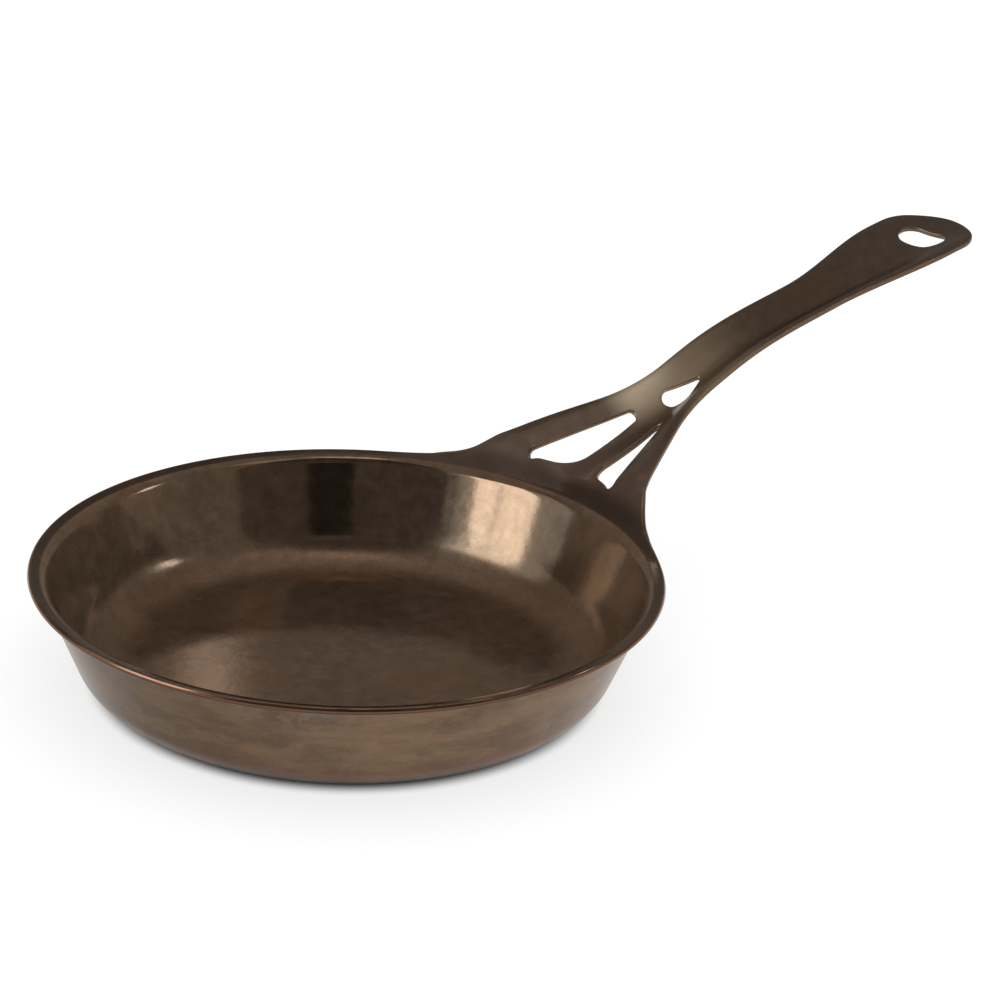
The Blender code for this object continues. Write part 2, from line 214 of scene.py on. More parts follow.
def bowl_faces():
    """Inside and underside of the bowl from its axis to the start of the lip's slope, each as an
    array of (radius, height)."""
    half = SHEET / 2.0
    wall_angle = math.pi / 2.0 - WALL_LEAN
    wall_way = np.array([math.cos(wall_angle), math.sin(wall_angle)])
    lip_way = np.array([math.cos(LIP_SLOPE), math.sin(LIP_SLOPE)])
    lip_end = np.array([RIM_RADIUS - half * math.sin(LIP_SLOPE), RIM_HEIGHT - half * math.cos(LIP_SLOPE)])
    bend = LIP_BEND + half
    tangent = bend * math.tan((wall_angle - LIP_SLOPE) / 2.0)
    faces = []
    for side, flat_radius, round_radius in ((1.0, FLOOR_RADIUS, INSIDE_CORNER_RADIUS),
                                            (-1.0, BASE_RADIUS, CORNER_RADIUS)):
        corner = round_radius - half
        wall_foot = np.array([flat_radius + corner * math.sin(wall_angle),
                              round_radius - corner * math.cos(wall_angle)])
        wall_length = np.linalg.solve(np.stack([wall_way, lip_way], axis=1), lip_end - wall_foot)[0]
        bend_foot = wall_foot + wall_way * (wall_length - tangent)
        bend_centre = (bend_foot[0] + bend * wall_way[1], bend_foot[1] - bend * wall_way[0])
        floor = [(radius, half + side * half) for radius in np.linspace(0.0, flat_radius, FLOOR_RINGS)[:-1]]
        curve = arc((flat_radius, round_radius), corner - side * half, -math.pi / 2.0,
                    wall_angle - math.pi / 2.0, CORNER_STEPS)
        rise = arc(bend_centre, bend + side * half, math.pi / 2.0 + wall_angle,
                   math.pi / 2.0 + LIP_SLOPE, BEND_STEPS)
        wall = np.linspace(curve[-1], rise[0], WALL_RINGS)[1:-1]
        faces.append(np.concatenate([floor, curve, wall, rise]))
    return faces


inside_face, under_face = bowl_faces()
LIP_START_RADIUS = inside_face[-1][0]
LIP_MIDDLE_RADIUS = (LIP_START_RADIUS + LIP_TOP_RADIUS) / 2.0

ARM_END_X = NECK_X - ARM_RADIUS * math.sin(ARM_ANGLE)
ARM_END_HALF_WIDTH = NECK_HALF_WIDTH + ARM_RADIUS * (1.0 - math.cos(ARM_ANGLE))


def fillet_centre():
    """Centre of the round that touches both the lip's circle and the arm's straight edge."""
    reach = (math.sin(ARM_ANGLE) * ARM_END_X + math.cos(ARM_ANGLE) * ARM_END_HALF_WIDTH
             + FILLET_RADIUS)
    distance = LIP_TOP_RADIUS + FILLET_RADIUS
    azimuth = math.pi / 2.0 - ARM_ANGLE - math.acos(reach / distance)
    return distance * math.cos(azimuth), distance * math.sin(azimuth)


FILLET_CENTRE = fillet_centre()
FILLET_AZIMUTH = math.atan2(FILLET_CENTRE[1], FILLET_CENTRE[0])
FILLET_END_X = FILLET_CENTRE[0] - FILLET_RADIUS * math.sin(ARM_ANGLE)


def body_half_width(x):
    """Half width of the handle at x, without the round end."""
    fillet = FILLET_CENTRE[1] - np.sqrt(np.maximum(FILLET_RADIUS ** 2 - (FILLET_CENTRE[0] - x) ** 2, 0.0))
    arm = ARM_END_HALF_WIDTH + (ARM_END_X - x) * math.tan(ARM_ANGLE)
    neck = NECK_HALF_WIDTH + ARM_RADIUS - np.sqrt(np.maximum(ARM_RADIUS ** 2 - (NECK_X - x) ** 2, 0.0))
    share = smoothstep((x - SWELL_START_X) / (SWELL_END_X - SWELL_START_X))
    strap = NECK_HALF_WIDTH + (END_HALF_WIDTH - NECK_HALF_WIDTH) * share
    return np.select([x < FILLET_END_X, x < ARM_END_X, x < NECK_X], [fillet, arm, neck], strap)


valley_above_rim = spline(VALLEY)
trough_at_reach = spline(TROUGH)


def plate_height(x, y):
    """Top face of the pressed handle: a trough, round in the middle and level at its edges."""
    share = np.minimum(np.abs(y) / (TROUGH_SHARE * body_half_width(x)), 1.0)
    rise = 1.0 - (1.0 - share ** 2) ** TROUGH_POWER
    reach = x - RIM_RADIUS
    return RIM_HEIGHT + valley_above_rim(reach) + trough_at_reach(reach) * rise


def top_height(x, y):
    """Top face of the lip and handle. The sheet turns up from the lip's bend into the plate, and
    this rise fades out to both sides of the root."""
    radius = np.hypot(x, y)
    slope = np.where(radius < LIP_TOP_RADIUS, math.tan(LIP_SLOPE), math.tan(SPREAD_SLOPE))
    lip_line = RIM_HEIGHT + (radius - LIP_TOP_RADIUS) * slope
    azimuth = np.abs(np.arctan2(y, x))
    aside = (azimuth - RISE_FULL_AZIMUTH) / (RISE_NONE_AZIMUTH - RISE_FULL_AZIMUTH)
    start, full, fade, end = GENTLE_AZIMUTHS
    gentle = smoothstep((azimuth - start) / (full - start))
    gentle = GENTLE_MIDDLE_SHARE + (1.0 - GENTLE_MIDDLE_SHARE) * gentle
    gentle = gentle * (1.0 - smoothstep((azimuth - fade) / (end - fade)))
    rise = ROOT_RISE + (GENTLE_RISE - ROOT_RISE) * gentle
    share = smoothstep((radius - LIP_START_RADIUS) / rise) * (1.0 - smoothstep(aside))
    return lip_line + (plate_height(x, y) - lip_line) * share


def sheet_points(plan, depth):
    """Points at a depth below the top face over plan points, measured square to the sheet."""
    x, y = plan[:, 0], plan[:, 1]
    along = (top_height(x + SLOPE_STEP, y) - top_height(x - SLOPE_STEP, y)) / (2.0 * SLOPE_STEP)
    across = (top_height(x, y + SLOPE_STEP) - top_height(x, y - SLOPE_STEP)) / (2.0 * SLOPE_STEP)
    length = np.sqrt(along ** 2 + across ** 2 + 1.0)
    return np.stack([x + depth * along / length, y + depth * across / length,
                     top_height(x, y) - depth / length], axis=1)


def evenly_spaced(points, step, closed=False):
    """The same line with points about one step apart."""
    if closed:
        points = np.concatenate([points, points[:1]])
    travelled = np.concatenate([[0.0], np.cumsum(np.linalg.norm(np.diff(points, axis=0), axis=1))])
    stations = np.linspace(0.0, travelled[-1], max(int(round(travelled[-1] / step)), 3) + 1)
    spaced = np.stack([np.interp(stations, travelled, points[:, axis]) for axis in (0, 1)], axis=1)
    return spaced[:-1] if closed else spaced


def outer_outline():
    """Cut edge from the lip on one side, round the handle, to the lip on the other side."""
    lip = arc((0.0, 0.0), LIP_TOP_RADIUS, SECTOR_ANGLE, FILLET_AZIMUTH, LIP_SAMPLES)
    fillet = arc(FILLET_CENTRE, FILLET_RADIUS, FILLET_AZIMUTH + math.pi, 1.5 * math.pi - ARM_ANGLE,
                 ROUND_SAMPLES)
    xs = np.linspace(FILLET_END_X, END_ROUND_X, SIDE_SAMPLES)
    side = np.stack([xs, body_half_width(xs)], axis=1)
    turn = np.linspace(0.0, math.pi / 2.0, ROUND_SAMPLES)
    end = np.stack([END_ROUND_X + END_ROUND_LENGTH * np.sin(turn), END_HALF_WIDTH * np.cos(turn)], axis=1)
    half = np.concatenate([lip, fillet[1:], side[1:], end[1:]])
    whole = np.concatenate([half, half[-2::-1] * (1.0, -1.0)])
    return evenly_spaced(whole, OUTLINE_STEP)


def rounded_opening(corners):
    """Closed outline of an opening whose corners (reach, y, radius) are rounded."""
    points = []
    count = len(corners)
    for i in range(count):
        here = np.array(corners[i][:2])
        before = np.array(corners[i - 1][:2]) - here
        after = np.array(corners[(i + 1) % count][:2]) - here
        before /= np.linalg.norm(before)
        after /= np.linalg.norm(after)
        half_angle = math.acos(float(np.clip(before @ after, -1.0, 1.0))) / 2.0
        radius = corners[i][2]
        middle = (before + after) / np.linalg.norm(before + after)
        centre = here + middle * radius / math.sin(half_angle)
        first = here + before * radius / math.tan(half_angle) - centre
        last = here + after * radius / math.tan(half_angle) - centre
        start = math.atan2(first[1], first[0])
        turn = (math.atan2(last[1], last[0]) - start + math.pi) % math.tau - math.pi
        points.append(arc(centre, radius, start, start + turn, CORNER_SAMPLES))
    outline = np.concatenate(points) + (RIM_RADIUS, 0.0)
    return evenly_spaced(outline, OUTLINE_STEP, closed=True)


def opening_outlines():
    """Outlines of the two side vents, the neck vent and the hanging hole."""
    reach = HOLE_LENGTH / 2.0
    side = HOLE_WIDTH / 2.0
    middle = HANDLE_LENGTH - HOLE_SETBACK
    hole = [(middle + a * reach, b * side, HOLE_CORNER) for a, b in ((-1, -1), (1, -1), (1, 1), (-1, 1))]
    mirrored = [(x, -y, radius) for x, y, radius in VENT_CORNERS]
    return [rounded_opening(corners) for corners in (VENT_CORNERS, mirrored, NECK_VENT_CORNERS, hole)]


def contains(outline, points):
    """Which points lie inside a closed outline."""
    x, y = points[:, 0], points[:, 1]
    inside = np.zeros(len(points), bool)
    for (ax, ay), (bx, by) in zip(outline, np.roll(outline, -1, axis=0)):
        crosses = (ay > y) != (by > y)
        if crosses.any():
            at = ax + (y - ay) * (bx - ax) / (by - ay if by != ay else 1.0)
            inside ^= crosses & (x < at)
    return inside


def sideways(line, closed):
    """Unit vectors square to a line, to the left of its course."""
    if closed:
        course = np.roll(line, -1, axis=0) - np.roll(line, 1, axis=0)
    else:
        course = np.gradient(line, axis=0)
        course[0] = (-line[0][1], line[0][0])
        course[-1] = (-line[-1][1], line[-1][0])
        course[[0, -1]] *= np.sign(np.sum(course[[0, -1]] * (line[[1, -1]] - line[[0, -2]]), axis=1))[:, None]
    course /= np.linalg.norm(course, axis=1)[:, None]
    return np.stack([-course[:, 1], course[:, 0]], axis=1)


def edge_depth(distance):
    """How far the rounded corner of a cut edge has dropped below the face at a distance from it."""
    inward = np.clip(EDGE_ROUND - distance, 0.0, EDGE_ROUND)
    return EDGE_ROUND - np.sqrt(EDGE_ROUND ** 2 - inward ** 2)


def on_metal(outline, openings, places):
    """Which plan places lie inside the outline and outside the openings."""
    inside = contains(outline, places)
    for opening in openings:
        inside &= ~contains(opening, places)
    return inside


def distances_to(line, places):
    """Distance from each plan place to the nearest point of a line."""
    tree = KDTree(len(line))
    for i, (x, y) in enumerate(line):
        tree.insert((x, y, 0.0), i)
    tree.balance()
    return np.array([tree.find((x, y, 0.0))[2] for x, y in places])


def inner_points(outline, openings):
    """Plan points spread evenly over the root, in arcs about the bowl's axis, and over the strap."""
    fan = [arc((0.0, 0.0), radius, -SECTOR_ANGLE, SECTOR_ANGLE, 4 * SECTOR_STEPS)[1:-1]
           for radius in np.arange(LIP_START_RADIUS + ROOT_GRID_STEP, ROOT_GRID_END, ROOT_GRID_STEP)]
    rows = []
    row_xs = np.arange(ROOT_GRID_END + STRAP_GRID_STEP / 2.0, TIP_X, STRAP_GRID_STEP * ROW_SHARE)
    for i, x in enumerate(row_xs):
        ys = np.arange(-STRAP_GRID_HALF_COUNT, STRAP_GRID_HALF_COUNT + 1) * STRAP_GRID_STEP
        ys = ys + (i % 2) * STRAP_GRID_STEP / 2.0
        rows.append(np.stack([np.full(len(ys), x), ys], axis=1))
    grid = np.concatenate(fan + rows)
    return grid[on_metal(outline, openings, grid)]


def handle_plan():
    """Plan points over the root and handle with their distance to the cut edge, the triangles
    between them, and the lines that the cut edge follows."""
    outer = outer_outline()
    openings = opening_outlines()
    sector = arc((0.0, 0.0), LIP_START_RADIUS, -SECTOR_ANGLE, SECTOR_ANGLE, 2 * SECTOR_STEPS)
    outline = np.concatenate([outer, sector])
    points = []
    distances = []
    cut_lines = []
    constraints = []

    def add(line, distance):
        """Add plan points with their distance to the cut edge, and give their numbers."""
        first = sum(len(part) for part in points)
        points.append(line)
        distances.append(np.full(len(line), distance) if np.isscalar(distance) else distance)
        return list(range(first, first + len(line)))

    for line, closed in [(outer, False)] + [(opening, True) for opening in openings]:
        inward = sideways(line, closed)
        probe = line[len(line) // 3] + inward[len(line) // 3] * EDGE_ROUND
        if not on_metal(outer, openings, probe[None])[0]:
            inward = -inward
        for distance in EDGE_RINGS:
            ring = add(line + inward * distance, distance)
            constraints += list(zip(ring, ring[1:] + (ring[:1] if closed else [])))
            if distance == 0.0:
                cut_lines.append((ring, closed))
    ring = add(sector, LIP_TOP_RADIUS - LIP_START_RADIUS)
    constraints += list(zip(ring, ring[1:]))
    corners = arc((0.0, 0.0), LIP_MIDDLE_RADIUS, -SECTOR_ANGLE, SECTOR_ANGLE, 1)
    add(corners, LIP_TOP_RADIUS - LIP_MIDDLE_RADIUS)
    grid = inner_points(outline, openings)
    grid = grid[distances_to(np.concatenate(points), grid) > GRID_CLEARANCE]
    add(grid, distances_to(np.concatenate([outer] + openings), grid))

    plan = np.concatenate(points)
    found = delaunay_2d_cdt([Vector(point) for point in plan], constraints, [], 0, SAME_POINT)
    origin = [ids[0] for ids in found[3]]
    triangles = np.array([[origin[i] for i in face] for face in found[2]])
    middles = plan[triangles].mean(axis=1)
    sides = plan[triangles[:, 1:]] - plan[triangles[:, :1]]
    kept = np.abs(np.cross(sides[:, 0], sides[:, 1])) > SLIVER_AREA
    kept &= on_metal(outline, openings, middles)
    return plan, np.concatenate(distances), triangles[kept], cut_lines


class Shell:
    """Points and faces of the pan's skin. Two values ride on the points: how deep in the sheet a
    point lies, from 0 on the inside to 1 on the underside, and how far it is from a cut edge."""

    def __init__(self):
        self.places = []
        self.layers = []
        self.edges = []
        self.faces = []

    def add(self, points, layer, edge):
        """Add points with their two values, and give the number of the first."""
        first = sum(len(part) for part in self.places)
        self.places.append(points)
        self.layers.append(np.broadcast_to(layer, len(points)))
        self.edges.append(np.broadcast_to(edge, len(points)))
        return first

    def add_sheet(self, plan, distance):
        """Add both faces of the sheet over plan points, and give the first number of each."""
        depth = edge_depth(distance)
        top = self.add(sheet_points(plan, depth), depth / SHEET, distance)
        low = self.add(sheet_points(plan, SHEET - depth), 1.0 - depth / SHEET, distance)
        return top, low

    def spin(self, profile, layer, flipped):
        """Rings of one face of the bowl about the axis, with a fan at the middle."""
        angles = np.arange(BOWL_SEGMENTS) * math.tau / BOWL_SEGMENTS
        centre = self.add(np.array([[0.0, 0.0, profile[0][1]]]), layer, LIP_TOP_RADIUS)
        before = None
        for radius, height in profile[1:]:
            ring = np.stack([radius * np.cos(angles), radius * np.sin(angles),
                             np.full(BOWL_SEGMENTS, height)], axis=1)
            here = self.add(ring, layer, LIP_TOP_RADIUS - radius)
            for i in range(BOWL_SEGMENTS):
                k = (i + 1) % BOWL_SEGMENTS
                face = (centre, here + i, here + k) if before is None else (
                    before + i, here + i, here + k, before + k)
                self.faces.append(face[::-1] if flipped else face)
            before = here

    def add_handle(self):
        """Both faces of the root and handle, and the cut edges between them."""
        plan, distance, triangles, cut_lines = handle_plan()
        top, low = self.add_sheet(plan, distance)
        self.faces.extend(tuple(top + i for i in face) for face in triangles)
        self.faces.extend(tuple(low + i for i in face[::-1]) for face in triangles)
        for ring, closed in cut_lines:
            for a, b in zip(ring, ring[1:] + (ring[:1] if closed else [])):
                self.faces.append((top + a, top + b, low + b, low + a))

    def add_lip(self):
        """The lip and its cut edge from one side of the root round to the other."""
        steps = BOWL_SEGMENTS - 2 * SECTOR_STEPS
        radii = [LIP_START_RADIUS, LIP_MIDDLE_RADIUS]
        radii += [LIP_TOP_RADIUS - distance for distance in EDGE_RINGS[::-1]]
        starts = []
        for radius in radii:
            ring = arc((0.0, 0.0), radius, SECTOR_ANGLE, math.tau - SECTOR_ANGLE, steps)
            starts.append(self.add_sheet(ring, np.full(len(ring), LIP_TOP_RADIUS - radius)))
        for i in range(steps):
            for here, beyond in zip(starts, starts[1:]):
                for side in (0, 1):
                    a, b = here[side] + i, beyond[side] + i
                    face = (a, b, b + 1, a + 1)
                    self.faces.append(face[::-1] if side else face)
            a, b = starts[-1][0] + i, starts[-1][1] + i
            self.faces.append((a, b, b + 1, a + 1))

    def piece(self, name):
        """Join the faces where they meet and make the piece."""
        mesh = bpy.data.meshes.new(name)
        mesh.from_pydata(np.concatenate(self.places).tolist(), [], self.faces)
        for label, values in (("layer", self.layers), ("edge_distance", self.edges)):
            attribute = mesh.attributes.new(label, "FLOAT", "POINT")
            attribute.data.foreach_set("value", np.concatenate(values).astype(np.float32))
        bm = bmesh.new()
        bm.from_mesh(mesh)
        bmesh.ops.remove_doubles(bm, verts=bm.verts, dist=MERGE_DISTANCE)
        bmesh.ops.recalc_face_normals(bm, faces=bm.faces)
        open_edges = sum(1 for edge in bm.edges if len(edge.link_faces) != 2)
        print("pan skin:", len(bm.verts), "points,", len(bm.faces), "faces,", open_edges, "open edges")
        bm.to_mesh(mesh)
        bm.free()
        mesh.shade_smooth()
        piece = bpy.data.objects.new(name, mesh)
        bpy.context.scene.collection.objects.link(piece)
        return piece


def pan_skin():
    """Closed skin of the whole pan."""
    shell = Shell()
    shell.spin(inside_face, 0.0, False)
    shell.spin(under_face, 1.0, True)
    shell.add_handle()
    shell.add_lip()
    return shell.piece("pan_skin")


class Wire:
    """One output of a shader node. Arithmetic on it adds Math nodes."""

    def __init__(self, finish, socket):
        self.finish = finish
        self.socket = socket

    def maths(self, operation, *values):
        """Add a Math node of one operation on these values."""
        return self.finish.node("ShaderNodeMath", {"operation": operation}, dict(enumerate(values)))

    def __add__(self, other):
        return self.maths("ADD", self, other)

    def __radd__(self, other):
        return self.maths("ADD", other, self)

    def __sub__(self, other):
        return self.maths("SUBTRACT", self, other)

    def __rsub__(self, other):
        return self.maths("SUBTRACT", other, self)

    def __mul__(self, other):
        return self.maths("MULTIPLY", self, other)

    def __rmul__(self, other):
        return self.maths("MULTIPLY", other, self)

    def __pow__(self, other):
        return self.maths("POWER", self, other)


class Finish:
    """A material under construction."""

    def __init__(self, name):
        self.material = bpy.data.materials.new(name)
        self.material.use_nodes = True
        self.tree = self.material.node_tree
        self.tree.nodes.clear()

    def node(self, kind, settings=None, inputs=None, output=0):
        """Add a node: its settings are set first, then the values or wires of its sockets."""
        node = self.tree.nodes.new(kind)
        for name, value in (settings or {}).items():
            setattr(node, name, value)
        for name, value in (inputs or {}).items():
            socket = node.inputs[name]
            if isinstance(value, Wire):
                self.tree.links.new(value.socket, socket)
            else:
                socket.default_value = value
        return Wire(self, node.outputs[output]) if node.outputs else None

    def parts(self, vector):
        """The three numbers of a vector."""
        split = self.node("ShaderNodeSeparateXYZ", None, {"Vector": vector})
        return [Wire(self, output) for output in split.socket.node.outputs]

    def carried(self, name):
        """Value that the mesh carries on its points."""
        return self.node("ShaderNodeAttribute", {"attribute_name": name}, output=2)

    def noise(self, place, scale, detail=2.0, roughness=0.5, distortion=0.0):
        """Cloudy pattern from 0 to 1, whose features are about 1/scale metres across."""
        return self.node("ShaderNodeTexNoise", None, {"Vector": place, "Scale": scale, "Detail": detail,
                                                      "Roughness": roughness, "Distortion": distortion})

    def ramp(self, value, low, high):
        """Ease from 0 to 1 as the value goes from low to high."""
        return self.node("ShaderNodeMapRange", {"interpolation_type": "SMOOTHSTEP"},
                         {"Value": value, "From Min": low, "From Max": high})

    def mix(self, factor, one, other):
        """Colour between two colours."""
        return self.node("ShaderNodeMix", {"data_type": "RGBA"}, {"Factor": factor, 6: one, 7: other}, 2)

    def shade(self, shade, amount):
        """The colour made lighter or darker by a grey amount."""
        grey = self.node("ShaderNodeCombineXYZ", None, {"X": amount, "Y": amount, "Z": amount})
        return self.node("ShaderNodeVectorMath", {"operation": "MULTIPLY"}, {0: shade, 1: grey})


def colour(red, green, blue):
    """Opaque colour of a socket."""
    return (red, green, blue, 1.0)


def seasoned_iron():
    """Heat-tinted, seasoned sheet iron: satin and speckled inside the bowl, coppery and blotched
    outside, plainer and browner on the handle, and worn bright along the cut edges. Painted shade
    darkens one side and the foot of the outside wall and the cut edges' lower corners, painted
    highlights lighten the handle's root and waist, and the handle's end is greyed as a painted reflection."""
    finish = Finish("seasoned_iron")
    place = finish.node("ShaderNodeTexCoord", output=3)
    x, y, z = finish.parts(place)
    radius = (x * x + y * y) ** 0.5
    layer = finish.carried("layer")
    edge = finish.carried("edge_distance")

    clouds = finish.noise(place, 16.0, 3.0, 0.55, 0.4)
    blotches = finish.noise(place, 42.0, 4.0, 0.6, 0.8)
    mottles = finish.noise(place, 150.0, 5.0, 0.68)
    grain = finish.noise(place, 700.0, 3.0, 0.6)
    specks = finish.noise(place, 1300.0, 1.0)
    smudges = finish.ramp(finish.noise(place, 60.0, 5.0, 0.72, 1.2), 0.38, 0.62)
    streaky_place = finish.node("ShaderNodeVectorMath", {"operation": "MULTIPLY"},
                                {0: place, 1: STREAK_SQUEEZE})
    streaks = finish.noise(streaky_place, 34.0, 4.0, 0.62, 0.3)
    fine_streaks = finish.noise(streaky_place, 120.0, 3.0, 0.6)

    # Where on the pan
    inside = 1.0 - finish.ramp(layer, 0.35, 0.65)
    bowl = 1.0 - finish.ramp(radius, LIP_START_RADIUS - 0.0010, LIP_START_RADIUS + 0.0002)
    handle = finish.ramp(radius, RIM_RADIUS - 0.0005, RIM_RADIUS + 0.0060)
    wavy_radius = radius + (blotches - 0.5) * 0.014 + (mottles - 0.5) * 0.0035
    flat = 1.0 - finish.ramp(wavy_radius, 0.102, 0.113)
    corner = finish.ramp(wavy_radius, 0.084, 0.091) * flat
    ring = finish.ramp(wavy_radius, 0.0850, 0.0885) * (1.0 - finish.ramp(wavy_radius, 0.0895, 0.0935))
    aside = x * DULL_AND_PAINTED_SHADE_SIDE[0] + y * DULL_AND_PAINTED_SHADE_SIDE[1]

    # Inside of the bowl
    satin = finish.mix(finish.ramp(mottles, 0.36, 0.64),
                       colour(0.121, 0.079, 0.051), colour(0.168, 0.114, 0.075))
    satin = finish.mix(finish.ramp(clouds, 0.40, 0.66) * 0.6, satin, colour(0.175, 0.104, 0.061))
    reddened = corner * finish.ramp(blotches, 0.44, 0.66)
    satin = finish.mix(reddened * 0.75, satin, colour(0.205, 0.112, 0.066))
    browned = corner * (1.0 - finish.ramp(mottles, 0.34, 0.54))
    satin = finish.mix(browned * 0.35, satin, colour(0.092, 0.060, 0.042))
    satin = finish.shade(satin, (1.0 - ring * 0.10) * (0.92 + smudges * 0.16))
    satin = finish.mix(corner * 0.45, satin, colour(0.172, 0.104, 0.062))
    pins = finish.ramp(specks, 0.665, 0.71) * (corner * 0.8 + 0.18)
    satin = finish.mix(pins * 0.6, satin, colour(0.270, 0.190, 0.130))
    pits = (1.0 - finish.ramp(specks, 0.30, 0.345)) * (corner * 0.6 + 0.3)
    satin = finish.mix(pits * 0.6, satin, colour(0.060, 0.038, 0.024))

    # Outside of the bowl
    copper = finish.mix(finish.ramp(streaks, 0.34, 0.66),
                        colour(0.134, 0.087, 0.057), colour(0.202, 0.133, 0.082))
    copper = finish.mix(finish.ramp(fine_streaks, 0.50, 0.66) * 0.40, copper, colour(0.225, 0.112, 0.060))
    ashen = finish.ramp(clouds, 0.50, 0.66) * finish.ramp(mottles, 0.46, 0.60)
    copper = finish.mix(ashen * 0.65, copper, colour(0.165, 0.148, 0.122))
    low_band = 1.0 - finish.ramp(z + (streaks - 0.5) * 0.006, 0.008, 0.019)
    copper = finish.mix(low_band * 0.7, copper, colour(0.150, 0.080, 0.055))
    # Painted shade: the foot of the outside wall is darkened where it meets the floor
    foot = 1.0 - finish.ramp(z + (streaks - 0.5) * 0.003, 0.0025, 0.0095)
    copper = finish.mix(foot * 0.85, copper, colour(0.050, 0.038, 0.038))
    # Painted shade: the outside wall is made up to 44 % darker toward one side
    painted_shade_side = 1.0 - finish.ramp(aside, -0.105, 0.030)
    copper = finish.shade(copper, (0.84 + grain * 0.2 + smudges * 0.12) * (1.0 - painted_shade_side * 0.44))

    # Handle
    brown = finish.mix(finish.ramp(mottles, 0.30, 0.70),
                       colour(0.107, 0.075, 0.053), colour(0.149, 0.104, 0.074))
    brown = finish.mix(finish.ramp(clouds, 0.45, 0.70) * 0.6, brown, colour(0.138, 0.086, 0.054))
    brown = finish.shade(brown, 0.88 + grain * 0.24)
    # Painted highlight: the handle's root is made lighter, less so on one arm
    root = 1.0 - finish.ramp(x + (blotches - 0.5) * 0.020, 0.140, 0.180)
    root = root * (1.0 - finish.ramp(y, 0.004, 0.018) * 0.6)
    brown = finish.mix(root * 0.9, brown, colour(0.192, 0.132, 0.100))
    # Painted highlight: a lighter band across the handle's waist
    waist = finish.ramp(x + y * 0.4 + (blotches - 0.5) * 0.010, 0.172, 0.205)
    waist = waist * (1.0 - finish.ramp(x + (blotches - 0.5) * 0.016, 0.212, 0.262))
    brown = finish.mix(waist * 0.85, brown, colour(0.290, 0.212, 0.138))
    # Painted highlight: a pale patch on one side of the waist
    painted_highlight_side = finish.ramp(x, 0.172, 0.190) * (1.0 - finish.ramp(x, 0.196, 0.220))
    painted_highlight_side = painted_highlight_side * finish.ramp(y, 0.002, 0.014)
    brown = finish.mix(painted_highlight_side * 0.95, brown, colour(0.580, 0.470, 0.330))
    # Painted reflection: the end of the handle is made greyer
    brown = finish.mix(finish.ramp(x, 0.330, 0.395) * 0.6, brown, colour(0.124, 0.100, 0.086))

    # Lip, cut edges, the wear along them and painted shade along their lower corners
    lip = finish.mix(finish.ramp(blotches, 0.35, 0.65),
                     colour(0.080, 0.059, 0.046), colour(0.112, 0.074, 0.053))
    face = finish.mix(bowl, lip, satin)
    face = finish.mix(handle, face, brown)
    back = finish.mix(handle, copper, brown)
    base = finish.mix(inside, back, face)
    cut = finish.ramp(layer, 0.20, 0.32) * (1.0 - finish.ramp(layer, 0.66, 0.78))
    cut_colour = finish.mix(handle, colour(0.150, 0.068, 0.038), colour(0.150, 0.095, 0.060))
    base = finish.mix(cut * 0.9, base, cut_colour)
    # Painted shade: a dark line along the lower corner of each cut edge
    low_corner = finish.ramp(layer, 0.66, 0.80) * (1.0 - finish.ramp(edge, 0.0003, 0.0012))
    base = finish.mix(low_corner * 0.8, base, colour(0.040, 0.028, 0.022))
    worn = (1.0 - finish.ramp(edge, 0.0003, 0.0009)) * (1.0 - finish.ramp(layer, 0.16, 0.30))
    worn = worn * finish.ramp(blotches + (grain - 0.5) * 0.3, 0.30, 0.58)
    base = finish.mix(worn * 0.7, base, colour(0.260, 0.170, 0.100))

    # Gloss
    strap = finish.ramp(x, 0.150, 0.190)
    rough = 0.07 + mottles * 0.08 + corner * 0.22 + handle * 0.12 + strap * 0.10 + (1.0 - inside) * 0.12
    far_aside = finish.node("ShaderNodeMath", {"operation": "ABSOLUTE"}, {0: aside})
    hazy = finish.ramp(far_aside + (blotches - 0.5) * 0.02, 0.066, 0.104)
    dull = finish.node("ShaderNodeMath", {"operation": "MAXIMUM"}, {0: flat * 0.18, 1: hazy * 0.36})
    metal = 0.93 - bowl * inside * dull
    height = grain * (0.25 + corner * 0.75) + mottles
    bump = finish.node("ShaderNodeBump", None, {"Strength": 1.0, "Distance": GRAIN_HEIGHT, "Height": height})
    surface = finish.node("ShaderNodeBsdfPrincipled", None,
                          {"Base Color": base, "Metallic": metal, "Roughness": rough, "Normal": bump,
                           "Specular Tint": colour(0.90, 0.86, 0.82)})
    finish.node("ShaderNodeOutputMaterial", None, {"Surface": surface})
    return finish.material


def floor_paper():
    """Pale floor that keeps the pan's shadow, with a painted contact shadow where the pan stands, and
    is white to the camera and in reflections."""
    finish = Finish("floor_paper")
    paper = finish.node("ShaderNodeBsdfDiffuse", None, {"Color": colour(FLOOR_GREY, FLOOR_GREY, FLOOR_GREY)})
    rays = [finish.node("ShaderNodeLightPath", output=name) for name in
            ("Is Camera Ray", "Is Glossy Ray", "Is Transmission Ray")]
    x, y = finish.parts(finish.node("ShaderNodeTexCoord", output=3))[:2]
    radius = (x * x + y * y) ** 0.5
    # Painted shadow: the floor's white lift fades out under and just round the pan
    floor_outside_painted_shadow = finish.ramp(radius, BASE_RADIUS + SHADOW_EDGE[0], BASE_RADIUS + SHADOW_EDGE[1])
    white = finish.mix(floor_outside_painted_shadow, colour(0.0, 0.0, 0.0), colour(*WHITE))
    lift = finish.node("ShaderNodeEmission", None, {"Color": white, "Strength": FLOOR_LIFT})
    both = finish.node("ShaderNodeAddShader", None, {0: paper, 1: lift})
    seen = rays[0] + rays[1] + rays[2]
    surface = finish.node("ShaderNodeMixShader", None, {0: seen, 1: paper, 2: both})
    finish.node("ShaderNodeOutputMaterial", None, {"Surface": surface})
    return finish.material


